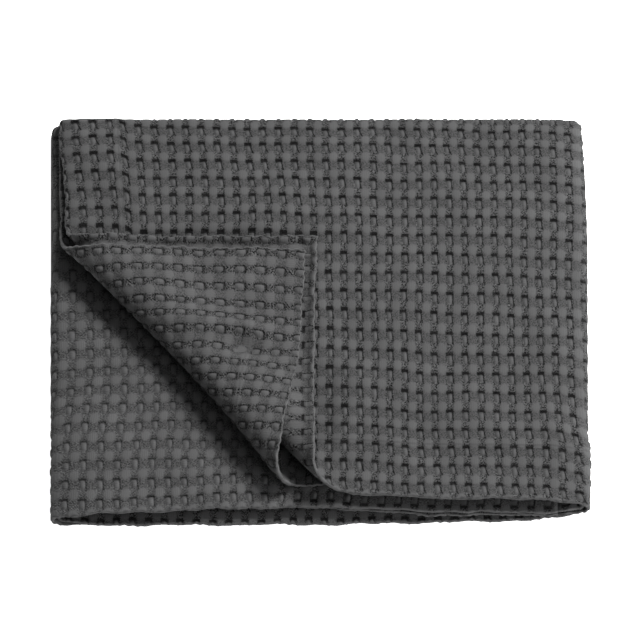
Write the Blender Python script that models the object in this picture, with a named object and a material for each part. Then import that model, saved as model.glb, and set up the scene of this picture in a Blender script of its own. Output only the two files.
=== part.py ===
"""A waffle weave cotton blanket, folded into a flat pack with one corner turned back.

Metres, +Z up, front of the pack towards -Y. The cloth is drawn flat, as it was cut, and every point of
it is then carried through the folds in the order in which a person makes them:
1. the cloth is doubled over, so that its two plies hang together at the back,
2. the doubled cloth is folded in three like a letter, first at the right and then at the left,
3. the free corner of the top panel, at the front left, is turned back over the pack.
Along the cloth, u runs from the free end of the top panel. Across it, v runs from the front edge of the
upper ply over the back fold to the front edge of the under ply.
"""

import math

import bpy
import numpy as np
from mathutils import Vector
from mathutils.geometry import delaunay_2d_cdt

# Driving dimensions.
CLOTH = 0.0030  # thickness of the weave
HEM = 0.0036  # thickness of the hem, where the cloth is turned in and stitched down
HEM_WIDTH = 0.055
HEM_SLOPE = 0.008  # width over which the hem thins out to the weave
PITCH = 0.0060  # from the middle of one layer to the middle of the next
FREE_END_X = -0.2455  # free end of the top panel, before its corner is turned back
RIGHT_FOLD_X = 0.2405  # where the doubled cloth starts to turn under at the right
LEFT_FOLD_X = -0.2425  # and at the left
HIDDEN_END_X = 0.2400  # the other end, under the pack
BACK_FOLD_Y = 0.1950  # where each ply starts to turn over at the back
PLY_DEPTH = 0.3800  # cloth in one ply, from its front edge to the back fold
EDGE_DROOP = 0.16  # share of its height that the pack loses at its sides
DROOP_WIDTH = 0.045  # how far in from the sides it does so
CORNER_REACH = 0.014  # how far in from the back corners they are drawn in, seen from above
RIGHT_REACH = 0.160  # how far in from the right side the cloth gives way to its line
CORNER_SHARES = (0.70, 0.20)  # of the way from square to round, from side to side and to the front
CURL_FLATNESS = 0.70  # height of the upper ply's curl for each metre of its width
TURN_FRONT_Y = -0.1812  # y at which the line of the turned corner's curl ends
SHORT_REACH = 0.100  # how far from the back fold the free end is drawn in where a ply is short
EASE = 0.004  # softening where the flap comes to lie on what is under it
MESH_STEP = 0.034  # spacing of the mesh on the flat of the cloth
CURL_STEP = 0.0045  # and across the curl of the turned corner
CURL_LENGTH = 0.022  # and along it
FOLD_STEPS = 8  # facets round each half turn
SETTLE_STEPS = 5  # mesh lines over the length on which the flap settles
CLEAR = 0.03  # how far past the turned corner the even mesh starts, as a share of the corner
TINY = 1e-6

# Front edges of the outer and the inner ply, panel by panel from the top down.
FRONT_EDGES = (
    # panel, x, outer_y, inner_y
    (1, -0.2455, -0.1840, -0.1860),
    (1, -0.1600, -0.1815, -0.1895),
    (1, -0.0300, -0.1815, -0.1765),
    (1, 0.0230, -0.1835, -0.1705),
    (1, 0.0930, -0.1885, -0.1815),
    (1, 0.2150, -0.1905, -0.1850),
    (2, 0.2200, -0.1980, -0.1985),
    (2, 0.1000, -0.1985, -0.1970),
    (2, 0.0130, -0.1915, -0.1925),
    (2, -0.0750, -0.1900, -0.1935),
    (2, -0.1760, -0.1930, -0.1980),
    (2, -0.2300, -0.1950, -0.2010),
    (3, -0.2200, -0.2055, -0.2035),
    (3, 0.0100, -0.2050, -0.2025),
    (3, 0.1700, -0.2010, -0.1990),
    (3, 0.2200, -0.1985, -0.1960),
    (3, 0.2400, -0.1930, -0.1910),
)

# How far the pack's right side lies in from its fold line, from front to back.
RIGHT_SIDE = (
    # y, in
    (-0.1900, -0.0018),
    (-0.1370, -0.0026),
    (-0.1150, 0.0000),
    (0.0850, 0.0008),
    (0.1400, 0.0028),
    (0.2000, 0.0065),
)

# How the two plies of the top panel curl over at the turned corner: where the curl starts on the free
# end and on the front edge, its radius at both, how far its line bows out and how fast, how far the
# flap drifts along the fold for each metre turned over, and the length over which it settles. Then how
# much shorter this ply is than the free end, and how much that changes on the way to the front.
CORNER_TURN = (
    # ply, start_y, start_x, end_radius, front_radius, bow, bow_power, drift, settle, short, lean
    ("outer", 0.1015, 0.0245, 0.0095, 0.0155, -0.0035, 0.5, -0.125, 0.055, 0.0060, 0),
    ("inner", 0.0955, 0.0215, 0.0155, 0.0180, 0.0235, 2.7, -0.050, 0.060, 0.0040, -0.0140),
)

OUTER_RADII = CORNER_TURN[0][3:5]
FOLD_RADIUS = PITCH  # of the doubled cloth's middle, at the right and the left
BACK_RADIUS = PITCH / 2
HALF_TURN = math.pi * FOLD_RADIUS
BACK_TURN = math.pi * BACK_RADIUS
RUNS = (RIGHT_FOLD_X - FREE_END_X, RIGHT_FOLD_X - LEFT_FOLD_X, HIDDEN_END_X - LEFT_FOLD_X)
LENGTH = sum(RUNS) + 2 * HALF_TURN
WIDTH = 2 * PLY_DEPTH + BACK_TURN
TOP_Z = HEM / 2 + 4.5 * PITCH  # middle of the doubled cloth in the top panel
OUTER_SIDE = FOLD_RADIUS + BACK_RADIUS + HEM / 2  # how far a side fold reaches past its start
BACK_Y = BACK_FOLD_Y + BACK_RADIUS + HEM / 2
FRONT_Y = min(min(row[2:]) for row in FRONT_EDGES)
MIDDLE_X = (RIGHT_FOLD_X + LEFT_FOLD_X) / 2  # middle of the folded pack, which becomes the origin
MIDDLE_Y = (BACK_Y + FRONT_Y) / 2


def smooth(share):
    """0 to 1 with level ends, for a share that is clipped to that range."""
    share = np.clip(share, 0, 1)
    return share * share * (3 - 2 * share)


def along(panel, x):
    """The distance u along the cloth of the place x on a panel."""
    return {
        1: x - FREE_END_X,
        2: RUNS[0] + HALF_TURN + RIGHT_FOLD_X - x,
        3: RUNS[0] + RUNS[1] + 2 * HALF_TURN + x - LEFT_FOLD_X,
    }[panel]


def doubled_over(v):
    """For v across the cloth: the way back from the back fold, the way past it, and the offset."""
    turned = np.clip((v - PLY_DEPTH) / BACK_RADIUS, 0, math.pi)
    short_of_fold = np.maximum(PLY_DEPTH - v, 0) + np.maximum(v - PLY_DEPTH - BACK_TURN, 0)
    return short_of_fold, BACK_RADIUS * np.sin(turned), BACK_RADIUS * np.cos(turned)


def folded_in_three(u, offset):
    """x and z of the doubled cloth at u along it, at the given offset from its middle."""
    right = np.clip((u - RUNS[0]) / FOLD_RADIUS, 0, math.pi)
    left = np.clip((u - RUNS[0] - HALF_TURN - RUNS[1]) / FOLD_RADIUS, 0, math.pi)
    top = np.minimum(u, RUNS[0])
    middle = np.clip(u - RUNS[0] - HALF_TURN, 0, RUNS[1])
    bottom = np.clip(u - RUNS[0] - RUNS[1] - 2 * HALF_TURN, 0, RUNS[2])
    x = FREE_END_X + top - middle + bottom + FOLD_RADIUS * (np.sin(right) - np.sin(left))
    z = TOP_Z - FOLD_RADIUS * (2 - np.cos(right) - np.cos(left))
    return x + offset * (np.sin(right) + np.sin(left)), z + offset * np.cos(right) * np.cos(left)


def front_edge(u, inner):
    """y of the front edge at u along the cloth, for the outer ply or the inner one."""
    at = [along(panel, x) for panel, x, _, _ in FRONT_EDGES]
    outer_y = np.interp(u, at, [row[2] for row in FRONT_EDGES])
    inner_y = np.interp(u, at, [row[3] for row in FRONT_EDGES])
    return np.where(inner, inner_y, outer_y)


def across_fold(x, y, turn):
    """Where places lie by the line on which a ply starts to curl: along it, past it, with the curl there."""
    _, start_y, start_x, end_radius, front_radius, bow, bow_power, *_ = turn
    length = math.hypot(start_x - FREE_END_X, TURN_FRONT_Y - start_y)
    way_x, way_y = (start_x - FREE_END_X) / length, (TURN_FRONT_Y - start_y) / length
    t = (x - FREE_END_X) * way_x + (y - start_y) * way_y
    share = np.clip(t / length, TINY, 1)
    bowed = bow * share**bow_power
    past = (x - FREE_END_X) * way_y - (y - start_y) * way_x - bowed
    radius = end_radius + (front_radius - end_radius) * share
    rise = CURL_FLATNESS * (OUTER_RADII[0] + (OUTER_RADII[1] - OUTER_RADII[0]) * share)
    return t, past, bowed, radius, rise, (way_x, way_y)


def settled(height, rest, back, settle):
    """Height of the flap at the distance back from its curl, as it comes down to what it lies on."""
    return height + (rest - height) * smooth(back / settle)


def corner_turned(x, y, z, turn, extra_rise, rest_z):
    """One ply of the top panel carried round the curl of the turned corner: x, y, z and how far round."""
    start_y, drift, settle = turn[1], turn[7], turn[8]
    t, past, bowed, radius, rise, (way_x, way_y) = across_fold(x, y, turn)
    turned = np.clip(past / radius, 0, math.pi)
    back = np.maximum(past - math.pi * radius, 0)
    reach = radius * np.sin(turned) - back + bowed
    t = t + drift * np.maximum(past, 0)
    new_x = FREE_END_X + t * way_x + reach * way_y
    new_y = start_y + t * way_y - reach * way_x
    new_z = settled(z + (rise + extra_rise) * (1 - np.cos(turned)), rest_z, back, settle)
    return *(np.where(past > 0, new, old) for new, old in ((new_x, x), (new_y, y), (new_z, z))), turned


def turned_top(x, y, turn, ply_z, rest_z):
    """Height of the turned upper ply over the place x, y, as the ply that lies on it finds it."""
    _, past, _, radius, rise, _ = across_fold(x, y, turn)
    outside = np.clip(past / radius, 0, 1)
    curl = ply_z + rise * (1 + np.sqrt(1 - outside**2))
    height = settled(curl, rest_z, np.maximum(-past, 0), turn[8])
    return np.where(past < radius, height, 0)


def corner_rounded(x, y):
    """Draws in the two back corners, seen from above, from square towards round."""
    across = np.clip((np.abs(x - MIDDLE_X) - RIGHT_FOLD_X - OUTER_SIDE + MIDDLE_X) / CORNER_REACH + 1, 0, 1)
    back = np.clip((y - BACK_Y) / CORNER_REACH + 1, 0, 1)
    shift_x = across * (1 - np.sqrt(1 - back * back / 2)) * CORNER_REACH * CORNER_SHARES[0]
    shift_y = back * (1 - np.sqrt(1 - across * across / 2)) * CORNER_REACH * CORNER_SHARES[1]
    return x - np.sign(x) * shift_x, y - shift_y


def right_side_drawn(x, y):
    """Draws the right side in to its line."""
    inwards = np.interp(y, [row[0] for row in RIGHT_SIDE], [row[1] for row in RIGHT_SIDE])
    return x - inwards * smooth((x - RIGHT_FOLD_X) / RIGHT_REACH + 1)


def higher(a, b):
    """The larger of two heights, with a soft change from one to the other."""
    return (a + b + np.sqrt((a - b) ** 2 + EASE**2)) / 2


def top_panel(x, y, z, short_of_fold, inner):
    """Carries the points of the top panel through the turning back of its corner."""
    top_z = TOP_Z + BACK_RADIUS
    outer_turn, inner_turn = CORNER_TURN
    from_right = (RIGHT_FOLD_X - x) / RUNS[0]
    short, lean = (np.where(inner, inner_turn[i], outer_turn[i]) for i in (9, 10))
    drawn_in = short * smooth(short_of_fold / SHORT_REACH) + lean * short_of_fold / PLY_DEPTH
    x = x + drawn_in * from_right
    ax, ay, az, _ = corner_turned(x, y, z, outer_turn, 0, top_z + PITCH)
    bx, by, bz, turned = corner_turned(x, y, z, inner_turn, PITCH, top_z + 2 * PITCH)
    lain_over = higher(bz, turned_top(bx, by, outer_turn, top_z, top_z + PITCH) + PITCH)
    bz = np.where(turned > math.pi / 2, lain_over, bz)
    return tuple(np.where(inner, b, a) for a, b in ((ax, bx), (ay, by), (az, bz)))


def folded(u, v):
    """Where the folded cloth's middle surface has the point that lies at u, v in the flat cloth."""
    short_of_fold, past_fold, offset = doubled_over(v)
    inner = v > PLY_DEPTH + BACK_TURN / 2
    ply_depth = BACK_FOLD_Y - front_edge(u, inner)
    y = BACK_FOLD_Y + past_fold - short_of_fold * ply_depth / PLY_DEPTH
    x, z = folded_in_three(u, offset)
    top = top_panel(x, y, z, short_of_fold, inner)
    x, y, z = (np.where(u < RUNS[0], new, old) for new, old in zip(top, (x, y, z)))
    x, y = corner_rounded(right_side_drawn(x, y), y)
    side = RIGHT_FOLD_X + OUTER_SIDE - MIDDLE_X
    x, y = x - MIDDLE_X, y - MIDDLE_Y
    droop = EDGE_DROOP * smooth((np.abs(x) - side + DROOP_WIDTH) / DROOP_WIDTH) ** 2
    lowered = (HEM - thickness(u, v)) / 2
    return np.stack([x, y, HEM / 2 + (z - HEM / 2) * (1 - droop) - lowered], axis=-1)


def thickness(u, v):
    """Thickness of the cloth at u, v in the flat cloth."""
    from_edge = np.minimum(np.minimum(u, LENGTH - u), np.minimum(v, WIDTH - v))
    return HEM + (CLOTH - HEM) * np.clip((from_edge - HEM_WIDTH) / HEM_SLOPE, 0, 1)


def stops(*spans):
    """Mesh stops over spans that follow on, each with its start, its end and the most between two stops."""
    places = [spans[0][0]]
    for start, end, step in spans:
        places.extend(np.linspace(start, end, math.ceil((end - start) / step - TINY) + 1)[1:])
    return np.array(places)


def length_stops():
    """Mesh stops along the cloth, and those of them that are lines of the fold, the hem or the edge."""
    right, left = RUNS[0], RUNS[0] + HALF_TURN + RUNS[1]
    ends = (0, HEM_WIDTH, HEM_WIDTH + HEM_SLOPE, right, right + HALF_TURN, left, left + HALF_TURN)
    ends += (LENGTH - HEM_WIDTH - HEM_SLOPE, LENGTH - HEM_WIDTH, LENGTH)
    turning = HALF_TURN / FOLD_STEPS
    steps = (MESH_STEP, HEM_SLOPE, MESH_STEP, turning, MESH_STEP, turning, MESH_STEP, HEM_SLOPE, MESH_STEP)
    return stops(*zip(ends, ends[1:], steps)), ends


def width_stops():
    """The same across the cloth."""
    back = PLY_DEPTH + BACK_TURN
    ends = (0, HEM_WIDTH, HEM_WIDTH + HEM_SLOPE, PLY_DEPTH, back)
    ends += (WIDTH - HEM_WIDTH - HEM_SLOPE, WIDTH - HEM_WIDTH, WIDTH)
    turning = BACK_TURN / FOLD_STEPS
    steps = (MESH_STEP, HEM_SLOPE, MESH_STEP, turning, MESH_STEP, HEM_SLOPE, MESH_STEP)
    return stops(*zip(ends, ends[1:], steps)), ends


def curl_lines(turn, inner):
    """Lines along the turned corner's fold on the flat cloth, each as its two ends."""
    _, start_y, start_x, _, front_radius, bow, _, _, settle, *_ = turn
    angle = math.atan2(start_y - TURN_FRONT_Y, start_x - FREE_END_X)
    curled = math.pi * front_radius + max(bow, 0)
    past = list(np.arange(-CURL_STEP, curled + CURL_STEP, CURL_STEP))
    past += [curled + settle * (i + 1) / SETTLE_STEPS for i in range(SETTLE_STEPS)]
    stretch = (BACK_FOLD_Y - TURN_FRONT_Y) / PLY_DEPTH
    lines = []
    for distance in past:
        along_end = (start_y - TURN_FRONT_Y - distance / math.cos(angle)) / stretch
        along_front = start_x - FREE_END_X - distance / math.sin(angle)
        if inner:
            lines.append(((0, WIDTH - along_end), (along_front, WIDTH)))
        else:
            lines.append(((0, along_end), (along_front, 0)))
    return lines


def flat_pattern():
    """The flat cloth as points and triangles, with edges along every fold and along the hems."""
    points, edges = [], []

    def add_line(places):
        first = len(points)
        points.extend(Vector(place) for place in places)
        edges.extend((i, i + 1) for i in range(first, len(points) - 1))

    (all_u, ends_u), (all_v, ends_v) = length_stops(), width_stops()
    curl_ends = []
    for inner, turn in enumerate(CORNER_TURN):
        lines = curl_lines(turn, inner)
        curl_ends.append((lines[0][1][0], abs(lines[0][0][1] - inner * WIDTH)))
        for start, end in lines:
            count = max(1, round(math.dist(start, end) / CURL_LENGTH))
            add_line([Vector(start).lerp(Vector(end), i / count) for i in range(count + 1)])

    def in_curl(u, v):
        (outer_u, outer_v), (inner_u, inner_v) = curl_ends
        return min(u / outer_u + v / outer_v, u / inner_u + (WIDTH - v) / inner_v) < 1 + CLEAR

    for u in all_u:
        if min(abs(u - end) for end in ends_u) < TINY:
            add_line([(u, v) for v in all_v if v in (0, WIDTH) or not in_curl(u, v)])
        else:
            points.extend(Vector((u, v)) for v in all_v if not in_curl(u, v))
    for v in ends_v:
        add_line([(u, v) for u in all_u if u in (0, LENGTH) or not in_curl(u, v)])
    flat, _, triangles, _, _, _ = delaunay_2d_cdt(points, edges, [], 1, TINY)
    return np.array([tuple(p) for p in flat]), [tuple(t) for t in triangles]


def cotton():
    """Dark grey cotton, dull and slightly soft at its edges."""
    material = bpy.data.materials.new("charcoal_cotton")
    material.use_nodes = True
    shader = material.node_tree.nodes["Principled BSDF"]
    shader.inputs["Base Color"].default_value = (0.075, 0.075, 0.077, 1)
    shader.inputs["Roughness"].default_value = 0.95
    shader.inputs["Metallic"].default_value = 0
    return material


def blanket():
    """The folded blanket: its middle surface, thickened on both sides."""
    flat, triangles = flat_pattern()
    mesh = bpy.data.meshes.new("blanket")
    mesh.from_pydata([tuple(p) for p in folded(flat[:, 0], flat[:, 1])], [], triangles)
    mesh.shade_smooth()
    mesh.materials.append(cotton())
    cloth = bpy.data.objects.new("blanket", mesh)
    bpy.context.scene.collection.objects.link(cloth)
    share = cloth.vertex_groups.new(name="hem")
    for i, thick in enumerate(thickness(flat[:, 0], flat[:, 1])):
        share.add([i], thick / HEM, "REPLACE")
    thicken = cloth.modifiers.new("thickness", "SOLIDIFY")
    thicken.vertex_group = share.name
    thicken.thickness = HEM
    thicken.offset = 0
    thicken.use_even_offset = False
    return cloth


def main():
    for old in list(bpy.data.objects):
        bpy.data.objects.remove(old, do_unlink=True)
    blanket()


main()
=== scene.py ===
"""Scene of a waffle weave cotton blanket, folded into a flat pack with one corner turned back.

Metres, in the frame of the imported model. The cloth is drawn flat and carried through its folds, as the
solid is, with the weave's relief on it. Along the cloth, u runs from the free end of the top panel.
Across it, v runs from the front edge of the upper ply over the back fold to the front edge of the under
ply. The cloth has a face and a reverse. The face is outside on all the panels that show.
"""

import math

import bpy
import numpy as np
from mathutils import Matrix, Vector

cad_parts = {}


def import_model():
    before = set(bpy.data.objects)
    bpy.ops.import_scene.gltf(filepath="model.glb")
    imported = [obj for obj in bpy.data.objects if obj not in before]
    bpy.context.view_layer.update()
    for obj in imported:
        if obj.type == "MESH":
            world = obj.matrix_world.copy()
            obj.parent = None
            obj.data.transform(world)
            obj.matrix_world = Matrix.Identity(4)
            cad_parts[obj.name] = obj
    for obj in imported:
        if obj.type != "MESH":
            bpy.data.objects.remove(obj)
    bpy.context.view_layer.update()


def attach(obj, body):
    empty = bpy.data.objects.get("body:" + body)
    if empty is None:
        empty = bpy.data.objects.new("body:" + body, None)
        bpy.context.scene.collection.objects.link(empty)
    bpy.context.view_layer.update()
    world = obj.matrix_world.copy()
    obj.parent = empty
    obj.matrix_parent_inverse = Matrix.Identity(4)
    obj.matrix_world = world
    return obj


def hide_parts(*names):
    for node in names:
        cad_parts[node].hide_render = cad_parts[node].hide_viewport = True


# The folded cloth: the same dimensions as the solid's.
CLOTH = 0.0030  # thickness of the weave
HEM = 0.0036  # thickness of the hem, where the cloth is turned in and stitched down
HEM_WIDTH = 0.055
HEM_SLOPE = 0.008  # width over which the hem thins out to the weave
PITCH = 0.0060  # from the middle of one layer to the middle of the next
LAYERS = 6
FREE_END_X = -0.2455  # free end of the top panel, before its corner is turned back
RIGHT_FOLD_X = 0.2405  # where the doubled cloth starts to turn under at the right
LEFT_FOLD_X = -0.2425  # and at the left
HIDDEN_END_X = 0.2400  # the other end, under the pack
BACK_FOLD_Y = 0.1950  # where each ply starts to turn over at the back
PLY_DEPTH = 0.3800  # cloth in one ply, from its front edge to the back fold
EDGE_DROOP = 0.16  # share of its height that the pack loses at its sides
DROOP_WIDTH = 0.045  # how far in from the sides it does so
CORNER_REACH = 0.014  # how far in from the back corners they are drawn in, seen from above
RIGHT_REACH = 0.160  # how far in from the right side the cloth gives way to its line
CORNER_SHARES = (0.70, 0.20)  # of the way from square to round, from side to side and to the front
CURL_FLATNESS = 0.70  # height of the upper ply's curl for each metre of its width
TURN_FRONT_Y = -0.1812  # y at which the line of the turned corner's curl ends
SHORT_REACH = 0.100  # how far from the back fold the free end is drawn in where a ply is short
EASE = 0.004  # softening where the flap comes to lie on what is under it
TINY = 1e-6

# Front edges of the outer and the inner ply, panel by panel from the top down.
FRONT_EDGES = (
    # panel, x, outer_y, inner_y
    (1, -0.2455, -0.1840, -0.1860),
    (1, -0.1600, -0.1815, -0.1895),
    (1, -0.0300, -0.1815, -0.1765),
    (1, 0.0230, -0.1835, -0.1705),
    (1, 0.0930, -0.1885, -0.1815),
    (1, 0.2150, -0.1905, -0.1850),
    (2, 0.2200, -0.1980, -0.1985),
    (2, 0.1000, -0.1985, -0.1970),
    (2, 0.0130, -0.1915, -0.1925),
    (2, -0.0750, -0.1900, -0.1935),
    (2, -0.1760, -0.1930, -0.1980),
    (2, -0.2300, -0.1950, -0.2010),
    (3, -0.2200, -0.2055, -0.2035),
    (3, 0.0100, -0.2050, -0.2025),
    (3, 0.1700, -0.2010, -0.1990),
    (3, 0.2200, -0.1985, -0.1960),
    (3, 0.2400, -0.1930, -0.1910),
)

# How far the pack's right side lies in from its fold line, from front to back.
RIGHT_SIDE = (
    # y, in
    (-0.1900, -0.0018),
    (-0.1370, -0.0026),
    (-0.1150, 0.0000),
    (0.0850, 0.0008),
    (0.1400, 0.0028),
    (0.2000, 0.0065),
)

# How the two plies of the top panel curl over at the turned corner: where the curl starts on the free
# end and on the front edge, its radius at both, how far its line bows out and how fast, how far the
# flap drifts along the fold for each metre turned over, and the length over which it settles. Then how
# much shorter this ply is than the free end, and how much that changes on the way to the front.
CORNER_TURN = (
    # ply, start_y, start_x, end_radius, front_radius, bow, bow_power, drift, settle, short, lean
    ("outer", 0.1015, 0.0245, 0.0095, 0.0155, -0.0035, 0.5, -0.125, 0.055, 0.0060, 0),
    ("inner", 0.0955, 0.0215, 0.0155, 0.0180, 0.0235, 2.7, -0.050, 0.060, 0.0040, -0.0140),
)
START_Y, DRIFT, SETTLE, SHORT, LEAN = 1, 7, 8, 9, 10  # columns of that table

OUTER_RADII = CORNER_TURN[0][3:5]  # the outer ply's end_radius and front_radius
FOLD_RADIUS = PITCH  # of the doubled cloth's middle, at the right and the left
BACK_RADIUS = PITCH / 2
HALF_TURN = math.pi * FOLD_RADIUS
BACK_TURN = math.pi * BACK_RADIUS
RUNS = (RIGHT_FOLD_X - FREE_END_X, RIGHT_FOLD_X - LEFT_FOLD_X, HIDDEN_END_X - LEFT_FOLD_X)
LENGTH = sum(RUNS) + 2 * HALF_TURN
WIDTH = 2 * PLY_DEPTH + BACK_TURN
TOP_Z = HEM / 2 + (LAYERS - 1.5) * PITCH  # middle of the doubled cloth in the top panel
OUTER_SIDE = FOLD_RADIUS + BACK_RADIUS + HEM / 2  # how far a side fold reaches past its start
BACK_Y = BACK_FOLD_Y + BACK_RADIUS + HEM / 2
FRONT_Y = min(min(row[2:]) for row in FRONT_EDGES)
MIDDLE_X = (RIGHT_FOLD_X + LEFT_FOLD_X) / 2  # middle of the folded pack, which becomes the origin
MIDDLE_Y = (BACK_Y + FRONT_Y) / 2
RIGHT_END = RUNS[0] + HALF_TURN  # u at which the right fold ends
LEFT_START = RIGHT_END + RUNS[1]
LEFT_END = LEFT_START + HALF_TURN
BACK_END = PLY_DEPTH + BACK_TURN  # v at which the back fold ends

# Columns of cells, counted along the cloth, and rows of cells, counted across it. Whole numbers are the
# middles of smooth patches, and half numbers the middles of raised bumps.
COLUMNS = (
    # u, column
    (-0.0200, -4.89),
    (0.0000, -3.65),
    (0.0185, -2.50),
    (0.0344, -1.50),
    (0.0504, -0.50),
    (0.0623, 0.50),
    (0.2374, 12.50),
    (0.4785, 29.50),
    (0.4860, 30.03),
    (0.5048, 32.03),
    (0.9128, 58.50),
    (0.9878, 63.12),
    (1.0067, 65.10),
    (1.5000, 97.88),
)
UPPER_ROWS = (
    # v, row, on the upper ply
    (-0.0200, -0.86),
    (0.0000, 0.14),
    (0.0126, 0.77),
    (0.0328, 1.77),
    (0.0511, 2.77),
    (0.0694, 3.77),
    (0.0876, 4.77),
    (0.1463, 7.77),
    (0.1665, 8.77),
    (0.2070, 10.77),
    (0.2262, 11.77),
    (0.2657, 13.77),
    (0.3031, 15.77),
    (0.3567, 18.77),
    (0.3800, 20.25),
    (0.3894, 20.90),
)
FLAP_ROWS = (
    # v, row, on the under ply near the free end
    (0.3894, 20.90),
    (0.5826, 31.50),
    (0.6849, 36.50),
    (0.7894, 41.69),
)
UNDER_ROWS = (
    # v, row, on the under ply further along
    (0.3894, 20.90),
    (0.6300, 33.50),
    (0.6850, 36.50),
    (0.7894, 42.13),
)
# How far the weave lies off that lattice, along the cloth and across it.
UPPER_DRIFTS = (
    # u, along at the back, middle and front, across at the back, middle and front
    (0.0550, -0.0025, -0.0025, -0.0025, 0.0080, 0.0080, 0.0080),
    (0.0650, -0.0020, -0.0020, -0.0020, 0.0030, 0.0030, 0.0040),
    (0.2380, -0.0020, -0.0010, -0.0010, 0.0005, 0.0020, 0.0035),
    (0.3220, -0.0005, 0.0000, -0.0005, 0.0003, 0.0010, 0.0015),
    (0.3640, -0.0005, 0.0000, 0.0025, 0.0005, 0.0005, 0.0010),
    (0.4065, 0.0020, 0.0010, 0.0045, -0.0015, 0.0000, 0.0020),
    (0.4487, 0.0030, 0.0010, 0.0065, -0.0026, -0.0010, 0.0017),
    (0.4970, 0.0040, 0.0010, 0.0080, -0.0045, -0.0020, 0.0010),
    (1.0067, 0.0000, 0.0000, 0.0000, -0.0086, -0.0086, -0.0086),
)
FLAP_DRIFTS = (
    # u, along, across
    (0.020, 0.0040, -0.0010),
    (0.065, 0.0040, 0.0010),
    (0.110, 0.0035, 0.0005),
    (0.150, 0.0020, -0.0030),
    (0.195, 0.0015, -0.0050),
)
UNDER_DRIFTS = (
    # v, along
    (0.571, 0.0010),
    (0.611, 0.0005),
    (0.651, 0.0020),
    (0.691, 0.0045),
    (0.730, 0.0070),
    (0.769, 0.0075),
)

# How the cells wander out of true, in cells.
WANDER = (
    # size, along_column, along_row, phase
    (0.044, 0.53, 0.41, 0.4),
    (0.030, 0.37, 1.17, 1.9),
    (0.018, 1.53, 0.77, 3.3),
)

# Where the layers swell, or sink, and how far.
SWELLS = (
    # u, v, reach_u, reach_v, height
    (0.0755, 0.711, 0.0075, 0.024, 0.0062),
    (0.0945, 0.711, 0.0080, 0.023, -0.0080),
    (0.0700, 0.655, 0.0080, 0.050, 0.0018),
    (0.0890, 0.655, 0.0085, 0.050, -0.0030),
    (0.1500, 0.700, 0.022, 0.040, 0.0012),
    (0.2400, 0.085, 0.018, 0.045, -0.0050),
    (0.1500, 0.258, 0.110, 0.010, -0.0035),
    (0.0490, 0.300, 0.008, 0.200, 0.0008),
    (0.3600, 0.000, 0.150, 0.022, 0.0010),
    (0.3600, 0.036, 0.130, 0.020, -0.0024),
    (0.2220, 0.743, 0.024, 0.020, -0.0110),
    (0.7850, 0.724, 0.036, 0.028, -0.0062),
    (0.7850, 0.046, 0.036, 0.028, -0.0045),
    (0.9550, 0.560, 0.024, 0.034, -0.0042),
    (0.9550, 0.210, 0.024, 0.034, -0.0030),
    (0.900, 0.700, 0.050, 0.060, 0.0010),
)
WAVES = (
    # height, along, across, phase
    (0.00035, 61.0, 33.0, 0.3),
    (0.00030, 27.0, 88.0, 2.1),
    (0.00020, 118.0, 71.0, 4.4),
)
RIM_RISES = (0.0036, 0.0036)  # how far the rim of the lower flap stands up, at its back and its right
RIM_REACH = 0.0085  # how far in from its edge
RIM_DROP = 0.0056  # width over which the rim drops off again
EDGE_REACH = 0.008  # how far in from an edge it waves
EDGE_WAVES = (
    # size, per_metre, phase
    (0.0006, 71.0, 0.7),
    (0.0005, 173.0, 2.9),
)
SCALLOP = 0.0013  # how far the edge draws in between the columns or rows of cells

# Size of the cells' parts, in cells, how strong the painted shade is in the gaps round the bumps along
# the cloth and across it, its sign telling the side where it falls, how strong the painted shade in the
# bumps' outlines is, how the gaps slant, and the tone between the patches, which differs from ply to ply
# as painted light and shade.
CELLS = (
    # ply, bump_u, bump_v, patch_u, patch_v, open_u, open_v, ring, slant, calm
    ("upper", 0.155, 0.220, 0.31, 0.27, 0.95, 1.0, 0.03, 0.24, 0.0335),
    ("flap", 0.175, 0.205, 0.30, 0.255, -0.80, 0.52, 0.60, 0.0, 0.0355),
    ("under", 0.165, 0.220, 0.31, 0.29, -0.20, -0.45, 0.42, 0.24, 0.0395),
)
BUMP_U, BUMP_V, PATCH_U, PATCH_V, GAP_SHADE_U, GAP_SHADE_V, RING, SLANT, CALM = range(9)  # its columns after the ply

# Where the cells differ from that table, and by how much: places on the upper ply, with its turned
# corner, and on the under ply. Most of the changes strengthen the painted shade in the gaps where the
# cloth lies in shade: beside the corner, on its rim and where the under ply is covered.
CELL_CHANGES = (
    # place, column, change
    ("left of upper ply", GAP_SHADE_V, 0.25),
    ("near fold or edge", GAP_SHADE_U, 0.30),
    ("near fold or edge", SLANT, 0.26),
    ("beside the corner", GAP_SHADE_V, 0.42),
    ("on the corner", GAP_SHADE_U, -0.50),
    ("on the corner", GAP_SHADE_V, -0.60),
    ("corner's front rim", GAP_SHADE_V, 0.60),
    ("corner's rim", RING, 0.25),
    ("front of under ply", GAP_SHADE_U, -0.40),
    ("front of under ply", GAP_SHADE_V, -0.20),
    ("covered", GAP_SHADE_V, 1.60),
)
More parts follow.
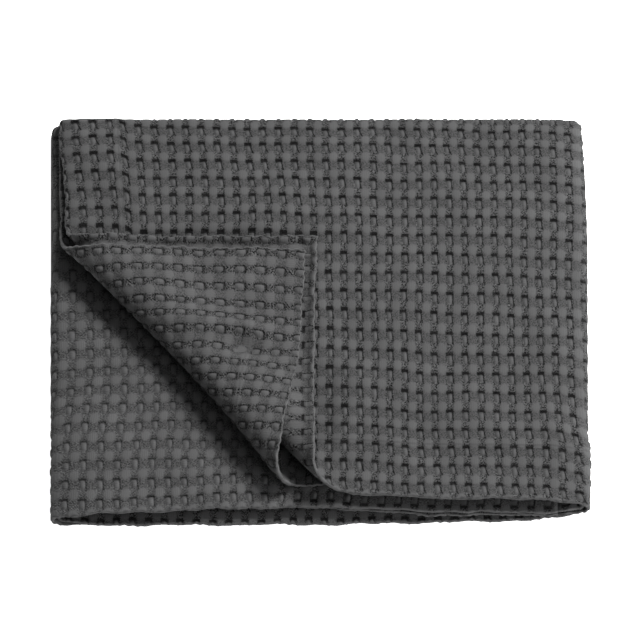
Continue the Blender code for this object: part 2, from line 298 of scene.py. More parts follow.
# Those places: a u or v where each starts or ends, and the width over which it does so.
LEFT_UNTIL = (0.280, 0.080)
FOLD_FROM = (0.325, 0.030)
EDGE_UNTIL = (0.060, 0.030)
BEHIND_CORNER = (0.268, 0.012)  # middle in v and reach, as far as the corner goes in u
RIGHT_OF_CORNER = (0.252, 0.018)  # middle in u and reach, as far as the corner goes in v
CORNER_U_UNTIL = (0.270, 0.020)
CORNER_V_UNTIL = (0.255, 0.020)
FRONT_FROM = (0.720, 0.025)
COVERED_FROM = (0.735, 0.006)
COVERED_UNTIL = (0.790, 0.020)
CORNER_LINE = 0.270  # u at which the line of the turned corner meets the front edge
CORNER_TILT = 0.95  # how much nearer it comes for each metre across the cloth
CORNER_SOFT = 0.030
RIM_CELLS = 0.014  # width of the cells at the corner's rim
RIM_SOFT = 0.004
RIM_SHIFTS = (0.0040, -0.0035)  # how far they lie off the lattice, along and across
UNDER_FROM = 0.300  # u from which the under ply has cells of its own, unlike those of the flap
UNDER_SOFT_ROWS = 0.400
UNDER_SOFT_SIZES = 0.200
TURNED_SOFT_SIZES = 0.080
TURNED_FROM = 0.020  # how far past the back fold the drift changes to that of the under ply
TURNED_SOFT_DRIFT = 0.100

# What the mesh carries for the material, besides the place in the weave. The last vector holds the
# strengths of the painted shade in the gaps and the tone between the patches.
CARRIED = (
    # name, columns of the cells' table
    ("bump", (BUMP_U, BUMP_V, RING)),
    ("patch", (PATCH_U, PATCH_V, SLANT)),
    ("open", (GAP_SHADE_U, GAP_SHADE_V, CALM)),
)

BUMP_RISE = 0.0008  # how far a bump stands proud
BUMP_SLOPE = (1.25, 0.75)  # foot of a bump and how far in it rises, in sizes of the bump
BUMP_POWER = 3  # how square a bump is
PATCH_RISE = 0.0005
PATCH_SLOPE = (1.5, 1.3)
PATCH_POWER = 2.5
GAP_DEPTH = 0.0009  # how deep the gap round a bump is
GAP_PLACE = 1.30  # middle of the gap, in sizes of the bump
GAP_SPREAD = 0.30
FINE_ENOUGH = 0.0020  # spacing of mesh lines up to which they carry the whole relief
TOO_COARSE = 0.0036  # and from which they carry none
EDGE_ROUND = 0.0016  # radius to which the cloth's edge is rounded
EDGE_LEAST = 0.30  # share of its thickness that is left at the very edge
NORMAL_STEP = 0.0004  # to either side, to find how the cloth lies
SWELLS_FROM = 0.030  # height from which a layer swells in full, less towards the floor

# Pieces of the cloth that make up the scene's model. Each span of mesh lines says from where to where
# it goes, their spacing on the face, and how many of them make one of the reverse.
END = 0.0026  # width by an edge that has the finest lines
SEAM_OFF = 0.020  # how far from a fold the seams lie, where nobody sees them
SEAM_U = RIGHT_END + SEAM_OFF
SEAM_UPPER = BACK_END + SEAM_OFF
SEAM_UNDER = PLY_DEPTH - SEAM_OFF
PIECES = (
    # name, spans along, spans across
    (
        "upper_panel",
        ((0, END, 0.0007, 1), (END, 0.030, 0.0016, 1), (0.030, 0.290, 0.0016, 3),
         (0.290, RUNS[0], 0.0016, 8), (RUNS[0], RIGHT_END, 0.0011, 2), (RIGHT_END, SEAM_U, 0.005, 2)),
        ((0, END, 0.0007, 1), (END, 0.030, 0.0019, 1), (0.030, 0.290, 0.0019, 3),
         (0.290, PLY_DEPTH, 0.0019, 8), (PLY_DEPTH, BACK_END, 0.0010, 1), (BACK_END, SEAM_UPPER, 0.005, 2)),
    ),
    (
        "turned_corner",
        ((0, END, 0.0007, 1), (END, 0.030, 0.0016, 1), (0.030, 0.290, 0.0016, 2),
         (0.290, RUNS[0], 0.014, 1), (RUNS[0], RIGHT_END, 0.0024, 1), (RIGHT_END, SEAM_U, 0.005, 2)),
        ((SEAM_UPPER, 0.480, 0.014, 1), (0.480, WIDTH - 0.030, 0.0019, 2),
         (WIDTH - 0.030, WIDTH - END, 0.0019, 1), (WIDTH - END, WIDTH, 0.0007, 1)),
    ),
    (
        "under_panels",
        ((SEAM_U, 0.710, 0.004, 3), (0.710, LEFT_START, 0.0017, 6), (LEFT_START, LEFT_END, 0.0012, 2),
         (LEFT_END, LENGTH - END, 0.0042, 2), (LENGTH - END, LENGTH, 0.0008, 1)),
        ((SEAM_UNDER, PLY_DEPTH, 0.005, 2), (PLY_DEPTH, BACK_END, 0.0012, 1), (BACK_END, 0.540, 0.0040, 3),
         (0.540, WIDTH - 0.010, 0.0019, 6), (WIDTH - 0.010, WIDTH - END, 0.0019, 1),
         (WIDTH - END, WIDTH, 0.0007, 1)),
    ),
    (
        "inner_panels",
        ((SEAM_U, LEFT_START, 0.0030, 2), (LEFT_START, LEFT_END, 0.0024, 1),
         (LEFT_END, LENGTH - END, 0.0030, 2), (LENGTH - END, LENGTH, 0.0008, 1)),
        ((0, END, 0.0007, 1), (END, 0.020, 0.0019, 1), (0.020, SEAM_UNDER, 0.014, 1)),
    ),
)

# Looks of the cotton. A row of two numbers says where something starts and where it is full, and a row
# of four also from what to what. Places round a bump or a patch are in sizes of it, places beside it in
# cells, places by the cloth's edge in metres, and tones in shares of white.
YARNS_U = 11  # yarns in a cell, along the cloth
YARNS_V = 14  # and across it
BUMP_LOOK = 3.0  # how square a bump looks
PATCH_LOOK = 2.3
PATCH_CHANCES = 5.0  # keeps the patches' own chances apart from those of the bumps
OWN_SIZES = (0.9, 1.1)  # each bump or patch has its own value in such a range
OWN_PLACES = (-0.020, 0.020)  # of the gap at a bump's end
OWN_GAP_SHADES = (0.70, 1.0)
OWN_BUMP_TONES = (0.029, 0.036)
OWN_PATCH_TONES = (0.93, 1.05)
ON_UNDER = (0.0, -0.4)  # open_v, which tells the under ply's cells

# Painted shade in the gaps round the bumps.
OUTLINE_WIDTH = 0.17  # of the painted shade in the gap all round a bump
OUTLINE_START = (-0.10, 0.14)  # on the under ply it shows at one end of the bump only
BAR_PLACE = 1.22  # of the painted shade in the gap at a bump's end
BAR_WIDTH = 0.035
BAR_SHADE_WIDENS = 0.072  # how much wider it gets where its painted shade is strong
BAR_SHIFT = 0.02
BAR_SOFT = (1.0, 0.42)
BAR_ENDS = (0.26, 0.195)
BAR_STRENGTH = 1.15
HALO_SHADE_SOFT = (0.24, 0.05)  # painted shade on the cloth round that gap
HALO_SHADE_ENDS = (0.34, 0.16)
SIDE_PLACE = 1.20  # of the painted shade in the gap at a bump's side
SIDE_SHIFT = 0.03
SIDE_SOFT = (0.062, 0.020)
SIDE_ENDS = (1.22, 1.02)
SIDE_LOW_END = (-0.08, -0.20, 0.70, 1.0)
SHADE_ALONG = 0.9  # the bump's own shade towards its gaps
SHADE_SOFT = (0.2, 1.1)
SHADE_REACH = (2.0, 1.25)
GAP_SHADE_FROM_EDGE = (0.0005, 0.0022)

# Yarns.
ON_PATCH = (1.30, 0.55)
ON_BUMP = (1.25, 0.80)
FRAY_SCALE = 4.0
FRAY_SHIFTS = (9.0, 7.0)  # how far fraying moves the knots, along and across
FLOAT_YARNS = 1.5  # the floats' yarns for each of the knots'
GRAIN_U = 14.6
GRAIN_V = 18.3
FUZZ = (3.1, 1.3, 3.0, 0.7)  # layer of the grain, scale, detail, roughness
SPECKLE = (9.7, 0.62, 2.0, 0.8)
SPECKLE_RANGE = (0.40, 0.60, -1.0, 1.0)
UNEVEN_SCALE = 0.35
ROUGH_BESIDE = (0.6, -0.8, 0.35, 1.0)  # from beside a patch to beside a bump
ROUGH_ON_UNDER = 0.85
THREAD = (0.0016, 0.0004)  # off the line of stitches, and at the very edge
STITCH_PLIES = (0.0370, 0.0345)  # the tone beside the patches: this leaves out the under ply

# Tones, where there are two on the other plies and on the under ply, and what darkens them. The cloth is
# the same on every ply: the under ply's lighter tones are painted light, and the bumps' shade, the halos
# and the gaps darken them as painted shade.
ROUGH_TONES = (0.032, 0.0395)  # beside the bumps
PATCH_TONES = (0.0485, 0.0510)
# painted highlight: the cloth is lighter at its very edge, where the rim catches the light
EDGE_HIGHLIGHT_TONE = 0.051
BLUE = 1.01  # for each red or green
BUMP_CALM = 0.30  # what a bump's tone takes from the tone beside the patches
SHADE_DARKENS = 0.22
HALO_SHADE_DARKENS = 0.26
GAP_SHADE_DARKENS = 0.96
STITCH_TONE = 0.84
KNOTS_TONE = 0.40
SPECKLE_TONE = 0.90
SPECKLED = (1.0, 0.55)  # share of those two that is seen
FLOATS_TONE = 0.05
FUZZ_TONE = (0.2, 0.8, 0.88, 1.12)
UNEVEN_TONE = (0.2, 0.8, 0.92, 1.08)

# Heights, in metres.
GAP_SINKS = (1.60, 1.05)
GAP_HEIGHT = -0.0010
CROWN_RISES = (1.20, 0.40)
CROWN_HEIGHT = 0.0005
PATCH_HEIGHT = 0.0003
KNOTS_HEIGHT = 0.00030
FLOATS_HEIGHT = 0.00005
FUZZ_HEIGHTS = (0.0002, 0.0005)  # on the smooth parts and on the rough ones
SPECKLE_HEIGHT = 0.0004
STITCH_HEIGHT = -0.0002
HEIGHT_STRENGTH = 0.9
COTTON_SURFACE = (
    # input, value
    ("Roughness", 0.92),
    ("Specular IOR Level", 0.1),
    ("Sheen Weight", 0.03),
    ("Sheen Roughness", 0.5),
)

# Photograph's camera, in front of the pack and high above it.
VIEW_ELEVATION = math.radians(67.0)
VIEW_WIDTH = 0.6003
VIEW_CENTRE = (0.0005, 0.0094)  # of the picture, to the right and up
VIEW_DISTANCE = 2.5

LIGHTS = (
    # name, place, aim, size, watts
    ("key", (1.20, 1.53, 2.32), (0, 0, 0), 0.9, 238),
    ("top", (0.25, -0.35, 1.2), (0.15, -0.2, 0), 0.6, 3),
    ("front", (1.95, -1.20, 0.62), (0, 0, 0), 1.0, 54),
)
WORLD_STRENGTH = 0.20
FLOOR_HALF = 4.0  # half of its side
FLOOR_Z = -0.0002  # a little under the pack
FLOOR_SURFACE = (
    # input, value
    ("Base Color", (0.92, 0.92, 0.92, 1)),
    ("Roughness", 0.9),
    ("Emission Color", (1, 1, 1, 1)),
    ("Emission Strength", 1.0),
)


def smooth(share):
    """0 to 1 with level ends, for a share that is clipped to that range."""
    share = np.clip(share, 0, 1)
    return share * share * (3 - 2 * share)


def rising(value, place, width):
    """0 up to the place, and 1 from its width past it."""
    return smooth((value - place) / width)


def falling(value, place, width):
    """1 up to its width short of the place, and 0 from it."""
    return smooth((place - value) / width)


def near(value, place, reach):
    return np.exp(-(((value - place) / reach) ** 2))


def along(panel, x):
    """The distance u along the cloth of the place x on a panel."""
    return {
        1: x - FREE_END_X,
        2: RUNS[0] + HALF_TURN + RIGHT_FOLD_X - x,
        3: RUNS[0] + RUNS[1] + 2 * HALF_TURN + x - LEFT_FOLD_X,
    }[panel]


def doubled_over(v):
    """For v across the cloth: the way back from the back fold, the way past it, and the offset."""
    turned = np.clip((v - PLY_DEPTH) / BACK_RADIUS, 0, math.pi)
    short_of_fold = np.maximum(PLY_DEPTH - v, 0) + np.maximum(v - PLY_DEPTH - BACK_TURN, 0)
    return short_of_fold, BACK_RADIUS * np.sin(turned), BACK_RADIUS * np.cos(turned)


def folded_in_three(u, offset):
    """x and z of the doubled cloth at u along it, at the given offset from its middle."""
    right = np.clip((u - RUNS[0]) / FOLD_RADIUS, 0, math.pi)
    left = np.clip((u - RUNS[0] - HALF_TURN - RUNS[1]) / FOLD_RADIUS, 0, math.pi)
    top = np.minimum(u, RUNS[0])
    middle = np.clip(u - RUNS[0] - HALF_TURN, 0, RUNS[1])
    bottom = np.maximum(u - RUNS[0] - RUNS[1] - 2 * HALF_TURN, 0)
    x = FREE_END_X + top - middle + bottom + FOLD_RADIUS * (np.sin(right) - np.sin(left))
    z = TOP_Z - FOLD_RADIUS * (2 - np.cos(right) - np.cos(left))
    return x + offset * (np.sin(right) + np.sin(left)), z + offset * np.cos(right) * np.cos(left)


def front_edge(u, inner):
    """y of the front edge at u along the cloth, for the outer ply or the inner one."""
    at = [along(panel, x) for panel, x, _, _ in FRONT_EDGES]
    outer_y = np.interp(u, at, [row[2] for row in FRONT_EDGES])
    inner_y = np.interp(u, at, [row[3] for row in FRONT_EDGES])
    return np.where(inner, inner_y, outer_y)


def across_fold(x, y, turn):
    """How places lie by the line on which a ply starts to curl, and what the curl is like there."""
    _, start_y, start_x, end_radius, front_radius, bow, bow_power, *_ = turn
    length = math.hypot(start_x - FREE_END_X, TURN_FRONT_Y - start_y)
    way_x, way_y = (start_x - FREE_END_X) / length, (TURN_FRONT_Y - start_y) / length
    t = (x - FREE_END_X) * way_x + (y - start_y) * way_y
    share = np.clip(t / length, TINY, 1)
    bowed = bow * share**bow_power
    past = (x - FREE_END_X) * way_y - (y - start_y) * way_x - bowed
    radius = end_radius + (front_radius - end_radius) * share
    rise = CURL_FLATNESS * (OUTER_RADII[0] + (OUTER_RADII[1] - OUTER_RADII[0]) * share)
    return t, past, bowed, radius, rise, (way_x, way_y)


def settled(height, rest, back, settle):
    """Height of the flap at the distance back from its curl, as it comes down to what it lies on."""
    return height + (rest - height) * smooth(back / settle)


def corner_turned(x, y, z, turn, extra_rise, rest_z):
    """One ply of the top panel carried round the curl of the turned corner: x, y, z and how far round."""
    start_y, drift_back, settle = turn[START_Y], turn[DRIFT], turn[SETTLE]
    t, past, bowed, radius, rise, (way_x, way_y) = across_fold(x, y, turn)
    turned = np.clip(past / radius, 0, math.pi)
    back = np.maximum(past - math.pi * radius, 0)
    reach = radius * np.sin(turned) - back + bowed
    t = t + drift_back * np.maximum(past, 0)
    new_x = FREE_END_X + t * way_x + reach * way_y
    new_y = start_y + t * way_y - reach * way_x
    new_z = settled(z + (rise + extra_rise) * (1 - np.cos(turned)), rest_z, back, settle)
    return *(np.where(past > 0, new, old) for new, old in ((new_x, x), (new_y, y), (new_z, z))), turned


def turned_top(x, y, turn, ply_z, rest_z):
    """Height of the turned upper ply over the place x, y, as the ply that lies on it finds it."""
    _, past, _, radius, rise, _ = across_fold(x, y, turn)
    outside = np.clip(past / radius, 0, 1)
    curl = ply_z + rise * (1 + np.sqrt(1 - outside**2))
    height = settled(curl, rest_z, np.maximum(-past, 0), turn[SETTLE])
    return np.where(past < radius, height, 0)


def corner_rounded(x, y):
    """Draws in the two back corners, seen from above, from square towards round."""
    across = np.clip((np.abs(x - MIDDLE_X) - RIGHT_FOLD_X - OUTER_SIDE + MIDDLE_X) / CORNER_REACH + 1, 0, 1)
    back = np.clip((y - BACK_Y) / CORNER_REACH + 1, 0, 1)
    shift_x = across * (1 - np.sqrt(1 - back * back / 2)) * CORNER_REACH * CORNER_SHARES[0]
    shift_y = back * (1 - np.sqrt(1 - across * across / 2)) * CORNER_REACH * CORNER_SHARES[1]
    return x - np.sign(x) * shift_x, y - shift_y


def right_side_drawn(x, y):
    """Draws the right side in to its line."""
    inwards = np.interp(y, [row[0] for row in RIGHT_SIDE], [row[1] for row in RIGHT_SIDE])
    return x - inwards * smooth((x - RIGHT_FOLD_X) / RIGHT_REACH + 1)


def higher(a, b):
    """The larger of two heights, with a soft change from one to the other."""
    return (a + b + np.sqrt((a - b) ** 2 + EASE**2)) / 2


def top_panel(x, y, z, short_of_fold, inner):
    """Carries the points of the top panel through the turning back of its corner."""
    top_z = TOP_Z + BACK_RADIUS
    outer_turn, inner_turn = CORNER_TURN
    from_right = (RIGHT_FOLD_X - x) / RUNS[0]
    short, lean = (np.where(inner, inner_turn[i], outer_turn[i]) for i in (SHORT, LEAN))
    drawn_in = short * smooth(short_of_fold / SHORT_REACH) + lean * short_of_fold / PLY_DEPTH
    x = x + drawn_in * from_right
    ax, ay, az, _ = corner_turned(x, y, z, outer_turn, 0, top_z + PITCH)
    bx, by, bz, turned = corner_turned(x, y, z, inner_turn, PITCH, top_z + 2 * PITCH)
    lain_over = higher(bz, turned_top(bx, by, outer_turn, top_z, top_z + PITCH) + PITCH)
    bz = np.where(turned > math.pi / 2, lain_over, bz)
    return tuple(np.where(inner, b, a) for a, b in ((ax, bx), (ay, by), (az, bz)))


def folded(u, v):
    """Where the folded cloth's middle surface has the point that lies at u, v in the flat cloth."""
    short_of_fold, past_fold, offset = doubled_over(v)
    inner = v > PLY_DEPTH + BACK_TURN / 2
    ply_depth = BACK_FOLD_Y - front_edge(u, inner)
    y = BACK_FOLD_Y + past_fold - short_of_fold * ply_depth / PLY_DEPTH
    x, z = folded_in_three(u, offset)
    top = top_panel(x, y, z, short_of_fold, inner)
    x, y, z = (np.where(u < RUNS[0], new, old) for new, old in zip(top, (x, y, z)))
    x, y = corner_rounded(right_side_drawn(x, y), y)
    side = RIGHT_FOLD_X + OUTER_SIDE - MIDDLE_X
    x, y = x - MIDDLE_X, y - MIDDLE_Y
    droop = EDGE_DROOP * smooth((np.abs(x) - side + DROOP_WIDTH) / DROOP_WIDTH) ** 2
    lowered = (HEM - thickness(u, v)) / 2
    return np.stack([x, y, HEM / 2 + (z - HEM / 2) * (1 - droop) - lowered], axis=-1)


def edge_distance(u, v):
    """How far u, v is from the nearest edge of the flat cloth."""
    return np.minimum(np.minimum(u, LENGTH - u), np.minimum(v, WIDTH - v))


def thickness(u, v):
    """Thickness of the cloth at u, v in the flat cloth."""
    return HEM + (CLOTH - HEM) * np.clip((edge_distance(u, v) - HEM_WIDTH) / HEM_SLOPE, 0, 1)


def looked_up(table, value, column=1):
    """A column of a short table, between the rows that its first column puts the value at."""
    return np.interp(value, [row[0] for row in table], [row[column] for row in table])


def drift(u, v):
    """How far the weave lies off its lattice at u, v: along the cloth and across it."""
    share = 1 - np.clip(v / PLY_DEPTH, 0, 1)
    upper, flap = [], []
    for column in (1, 4):  # of the drift at the back: along and across
        back, middle, front = (looked_up(UPPER_DRIFTS, u, column + i) for i in range(3))
        bend = 4 * share * (1 - share) * (middle - (back + front) / 2)
        upper.append(back + (front - back) * share + bend)
    for column in (1, 2):
        flap.append(looked_up(FLAP_DRIFTS, u, column))
    further = rising(u, UNDER_FROM, UNDER_SOFT_ROWS)
    turned = rising(v, BACK_END + TURNED_FROM, TURNED_SOFT_DRIFT)
    under = (looked_up(UNDER_DRIFTS, v), 0)
    return tuple(a + (b + (c - b) * further - a) * turned for a, b, c in zip(upper, flap, under))


def lattice(u, v):
    """Column and row of the weave at u, v in the flat cloth."""
    off_u, off_v = drift(u, v)
    corner = corner_share(u, v) * (v < BACK_END)
    off_u = off_u + RIM_SHIFTS[0] * corner * falling(u, 2 * RIM_CELLS, RIM_CELLS)
    off_v = off_v + RIM_SHIFTS[1] * corner * falling(v, 2 * RIM_CELLS, RIM_CELLS)
    u, v = u - off_u, v - off_v
    upper = looked_up(UPPER_ROWS, np.minimum(v, BACK_END))
    under = looked_up(FLAP_ROWS, v)
    further = rising(u, UNDER_FROM, UNDER_SOFT_ROWS)
    under = under + (looked_up(UNDER_ROWS, v) - under) * further
    row = np.where(v < BACK_END, upper, under)
    column = looked_up(COLUMNS, u)
    wander = np.zeros(np.shape(row) + (2,))
    for size, along_column, along_row, phase in WANDER:
        wander[..., 0] += size * np.sin(along_column * column + along_row * row + phase)
        wander[..., 1] += size * np.cos(along_row * column - along_column * row + 2 * phase)
    return column + wander[..., 0], row + wander[..., 1]


def corner_share(u, v):
    """1 on the upper ply's turned corner, 0 off it."""
    return falling(u + v * CORNER_TILT, CORNER_LINE, CORNER_SOFT)


def cell_places(u, v, upper, further):
    """How much u, v belongs to each of the places where the cells differ from their table."""
    corner = corner_share(u, v) * upper
    at_ends = np.maximum(rising(v, *FOLD_FROM), falling(v, *EDGE_UNTIL))
    behind = near(v, *BEHIND_CORNER) * falling(u, *CORNER_U_UNTIL)
    at_right = near(u, *RIGHT_OF_CORNER) * falling(v, *CORNER_V_UNTIL)
    end_rim, front_rim = (corner * falling(from_rim, RIM_CELLS, RIM_SOFT) for from_rim in (u, v))
    return {
        "left of upper ply": falling(u, *LEFT_UNTIL) * upper,
        "near fold or edge": at_ends * (upper - corner),
        "beside the corner": (behind + at_right) * upper,
        "on the corner": corner,
        "corner's front rim": front_rim,
        "corner's rim": np.maximum(end_rim, front_rim),
        "front of under ply": rising(v, *FRONT_FROM) * further,
        "covered": falling(u, *COVERED_UNTIL) * rising(v, *COVERED_FROM) * further,
    }


def cell_sizes(u, v):
    """The columns of the cells' table at u, v, with soft changes from ply to ply."""
    upper, flap, under = (np.array(row[1:]) for row in CELLS)
    further = rising(u, UNDER_FROM, UNDER_SOFT_SIZES)
    turned = rising(v, BACK_END, TURNED_SOFT_SIZES)
    on_under = flap + (under - flap) * further[..., None]
    sizes = upper + (on_under - upper) * turned[..., None]
    shares = cell_places(u, v, 1 - turned, further)
    for place, column, change in CELL_CHANGES:
        sizes[..., column] += change * shares[place]
    return sizes


def relief(column, row, sizes):
    """How far the cloth's face stands proud of its mean surface."""
    from_bump = np.stack([column - np.floor(column) - 0.5, row - np.floor(row) - 0.5], axis=-1)
    from_patch = np.stack([column - np.round(column), row - np.round(row)], axis=-1)
    bump, patch = (
        np.sum(np.abs(place / size) ** power, axis=-1) ** (1 / power)
        for place, size, power in (
            (from_bump, sizes[..., (BUMP_U, BUMP_V)], BUMP_POWER),
            (from_patch, sizes[..., (PATCH_U, PATCH_V)], PATCH_POWER),
        )
    )
    raised = BUMP_RISE * falling(bump, *BUMP_SLOPE) + PATCH_RISE * falling(patch, *PATCH_SLOPE)
    return raised - GAP_DEPTH * near(bump, GAP_PLACE, GAP_SPREAD)


def swell(u, v):
    """How far the layer swells at u, v."""
    height = 0
    for at_u, at_v, reach_u, reach_v, most in SWELLS:
        height = height + most * np.exp(-(((u - at_u) / reach_u) ** 2) - ((v - at_v) / reach_v) ** 2)
    for most, along_u, along_v, phase in WAVES:
        height = height + most * np.sin(along_u * u + along_v * v + phase)
    by_end, by_front = (
        rise * falling(from_rim, RIM_REACH, RIM_DROP) for rise, from_rim in zip(RIM_RISES, (u, v))
    )
    return height + corner_share(u, v) * np.maximum(by_end, by_front)


def edge_waved(u, v, column, row):
    """The place u, v moved a little where it is near an edge, which is never quite straight."""
    def wave(at, cells):
        out = sum(size * np.sin(per_metre * at + phase) for size, per_metre, phase in EDGE_WAVES)
        return out - SCALLOP * np.cos(2 * math.pi * cells) ** 2
    near_u = np.exp(-np.minimum(u, LENGTH - u) / EDGE_REACH) * np.sign(LENGTH / 2 - u)
    near_v = np.exp(-np.minimum(v, WIDTH - v) / EDGE_REACH) * np.sign(WIDTH / 2 - v)
    return u - near_u * wave(v, row), v - near_v * wave(u, column)


def mesh_lines(spans):
    """Mesh lines over spans that follow on, and which of them the reverse has."""
    places, kept = [spans[0][0]], [0]
    for start, end, step, every in spans:
        count = max(1, math.ceil((end - start) / step - TINY))
        first = len(places) - 1
        places.extend(np.linspace(start, end, count + 1)[1:])
        kept.extend(first + i for i in range(every, count, every))
        kept.append(first + count)
    return np.array(places), np.array(sorted(set(kept)))


def fine_share(places):
    """How much of the relief the mesh lines carry at each place."""
    return smooth((TOO_COARSE - np.gradient(places)) / (TOO_COARSE - FINE_ENOUGH))


def surface(u, v, side):
    """Points of the cloth's face or reverse, side 1 or -1, on the grid of the lines u and v."""
    grid_u, grid_v = np.meshgrid(u, v, indexing="ij")
    column, row = lattice(grid_u, grid_v)
    at_u, at_v = edge_waved(grid_u, grid_v, column, row)
    du = folded(at_u + NORMAL_STEP, at_v) - folded(at_u - NORMAL_STEP, at_v)
    dv = folded(at_u, at_v + NORMAL_STEP) - folded(at_u, at_v - NORMAL_STEP)
    normal = np.cross(du, dv)
    normal /= np.linalg.norm(normal, axis=-1, keepdims=True)
    sizes = cell_sizes(grid_u, grid_v)
    share = fine_share(u)[:, None] * fine_share(v)[None, :]
    from_edge = np.clip(edge_distance(grid_u, grid_v) / EDGE_ROUND, 0, 1)
    rounded = EDGE_LEAST + (1 - EDGE_LEAST) * np.sqrt(1 - (1 - from_edge) ** 2)
    out = thickness(grid_u, grid_v) / 2 * rounded + relief(column, row, sizes) * share * from_edge
    points = folded(at_u, at_v) + normal * (side * out)[..., None]
    points[..., 2] += swell(grid_u, grid_v) * smooth(points[..., 2] / SWELLS_FROM)
    points[..., 2] = np.maximum(points[..., 2], 0)
    weave = np.stack([column, row, edge_distance(grid_u, grid_v)], axis=-1)
    return points, weave, sizes


def grid_faces(numbers, flipped):
    """Quads of a grid of vertex numbers."""
    corners = (numbers[:-1, :-1], numbers[1:, :-1], numbers[1:, 1:], numbers[:-1, 1:])
    faces = np.stack(corners[::-1] if flipped else corners, axis=-1)
    return faces.reshape(-1, 4).tolist()


def rim(numbers, kept_u, kept_v):
    """The border of a grid, side by side, as runs of vertex numbers between the lines kept."""
    sides = (
        (numbers[:, 0], kept_u),
        (numbers[-1, :], kept_v),
        (numbers[::-1, -1], len(numbers) - 1 - kept_u[::-1]),
        (numbers[0, ::-1], len(numbers[0]) - 1 - kept_v[::-1]),
    )
    return [side[a:b + 1].tolist() for side, kept in sides for a, b in zip(kept, kept[1:])]


def cloth_piece(name, spans_u, spans_v, material):
    """A closed piece of the cloth, with a fine face and a reverse of fewer lines."""
    (u, kept_u), (v, kept_v) = mesh_lines(spans_u), mesh_lines(spans_v)
    face, weave, sizes = surface(u, v, 1)
    back, back_weave, back_sizes = surface(u[kept_u], v[kept_v], -1)
    numbers = np.arange(face[..., 0].size).reshape(face.shape[:2])
    back_numbers = np.arange(back[..., 0].size).reshape(back.shape[:2]) + numbers.size
    faces = grid_faces(numbers, False) + grid_faces(back_numbers, True)
    reverse_rim = rim(back_numbers, np.arange(len(kept_u)), np.arange(len(kept_v)))
    for fine, coarse in zip(rim(numbers, kept_u, kept_v), reverse_rim):
        faces.append(fine[::-1] + coarse)
    mesh = bpy.data.meshes.new(name)
    points = np.concatenate([face.reshape(-1, 3), back.reshape(-1, 3)])
    mesh.from_pydata(points.tolist(), [], faces)
    carried = [("weave", weave, back_weave)]
    carried += [(label, sizes[..., columns], back_sizes[..., columns]) for label, columns in CARRIED]
    for label, on_face, on_back in carried:
        values = np.concatenate([part.reshape(-1, 3) for part in (on_face, on_back)])
        attribute = mesh.attributes.new(label, "FLOAT_VECTOR", "POINT")
        attribute.data.foreach_set("vector", values.astype(np.float32).ravel())
    mesh.shade_smooth()
    mesh.materials.append(material)
    mesh.update()
    return placed(name, mesh), (u[-1] - u[0], v[-1] - v[0])


class Graph:
    """Short calls for a material's nodes."""

    def __init__(self, tree):
        self.tree = tree

    def node(self, kind, inputs=(), **settings):
        made = self.tree.nodes.new("ShaderNode" + kind)
        for name, value in settings.items():
            setattr(made, name, value)
        for key, value in dict(inputs).items():
            if isinstance(value, bpy.types.NodeSocket):
                self.tree.links.new(value, made.inputs[key])
            else:
                made.inputs[key].default_value = value
        return made

    def math(self, operation, *values):
        return self.node("Math", enumerate(values), operation=operation).outputs[0]

    def add(self, *values):
        total = values[0]
        for value in values[1:]:
            total = self.math("ADD", total, value)
        return total

    def times(self, *values):
        total = values[0]
        for value in values[1:]:
            total = self.math("MULTIPLY", total, value)
        return total

    def absolute(self, value):
        return self.math("ABSOLUTE", value)

    def less(self, a, b):
        return self.math("SUBTRACT", a, b)

    def over(self, a, b):
        return self.math("DIVIDE", a, b)

    def ramp(self, value, low, high, to_low=0.0, to_high=1.0):
        """A soft change from one value to another while the input goes from low to high."""
        inputs = {"Value": value, "From Min": low, "From Max": high, "To Min": to_low, "To Max": to_high}
        made = self.node("MapRange", inputs, interpolation_type="SMOOTHSTEP", clamp=True)
        return made.outputs["Result"]

    def vector(self, x, y, z=0.0):
        return self.node("CombineXYZ", {"X": x, "Y": y, "Z": z}).outputs[0]

    def parts(self, name):
        attribute = self.node("Attribute", attribute_name=name)
        return self.node("SeparateXYZ", {0: attribute.outputs["Vector"]}).outputs

    def noise(self, place, scale, detail=2.0, rough=0.5):
        inputs = {"Vector": place, "Scale": scale, "Detail": detail, "Roughness": rough}
        return self.node("TexNoise", inputs).outputs["Fac"]

    def mix(self, share, a, b):
        """a where the share is 0, b where it is 1, for plain numbers."""
        return self.add(a, self.times(share, self.less(b, a)))

    def round_distance(self, x, y, power):
        powers = [self.math("POWER", self.absolute(value), power) for value in (x, y)]
        return self.math("POWER", self.add(*powers), 1 / power)


